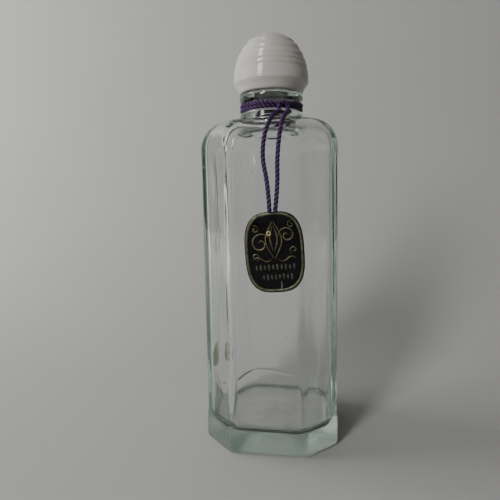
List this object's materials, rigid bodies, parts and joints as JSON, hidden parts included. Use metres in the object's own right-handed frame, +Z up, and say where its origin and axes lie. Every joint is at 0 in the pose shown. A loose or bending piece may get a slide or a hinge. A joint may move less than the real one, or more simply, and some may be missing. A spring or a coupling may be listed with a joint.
{
  "type": "cologne bottle with tag",
  "caption": "Square clear-glass cologne bottle with chamfered corners, ringed dome screw cap and an oval tag hung on a twisted neck cord.",
  "frame": {"origin": "centre of the base on the surface it stands on, on the bottle's axis", "axes": "+Z up along the bottle's axis, -Y out of the face that the tag hangs on, +X to the right seen from that face"},
  "size_m": [0.0538, 0.0557, 0.1645],
  "materials": {
    "glass": "clear pressed glass with a faint aqua tint",
    "cap_plastic": "glossy off-white moulding",
    "wad": "pulp board, hidden and assumed",
    "plug_plastic": "translucent natural polythene, hidden and assumed",
    "cord": "glossy twisted purple cord, taken to be rayon",
    "tag_card": "black card",
    "tag_foil": "black card with gold foil printing"
  },
  "bodies": {
    "bottle": {"glass_bottle": "glass", "orifice_plug": "plug_plastic", "neck_cord_lower": "cord", "neck_cord_upper": "cord", "cord_hitch": "cord"},
    "cap_carrier": {"cap_wad": "wad"},
    "cap": {"cap": "cap_plastic"},
    "tag": {"cord_strand_left": "cord", "cord_strand_right": "cord", "tag_back": "tag_card", "tag_front": "tag_foil"}
  },
  "joints": [
    {"name": "cap_lift", "type": "slide", "parent": "bottle", "child": "cap_carrier", "axis": [0, 0, 1], "range_m": [0, 0.01905]},
    {"name": "cap_turn", "type": "hinge", "parent": "cap_carrier", "child": "cap", "pos_m": [0, 0, 0.145], "axis": [0, 0, 1], "range_deg": [0, 2160]},
    {"name": "tag_swing", "type": "hinge", "parent": "bottle", "child": "tag", "pos_m": [0.0067, -0.0153, 0.131], "axis": [-1, 0, 0], "range_deg": [0, 60]}
  ],
  "couplings": [
    {"joint": "cap_lift", "follows": "cap_turn", "m_per_rad": 0.00050531}
  ]
}
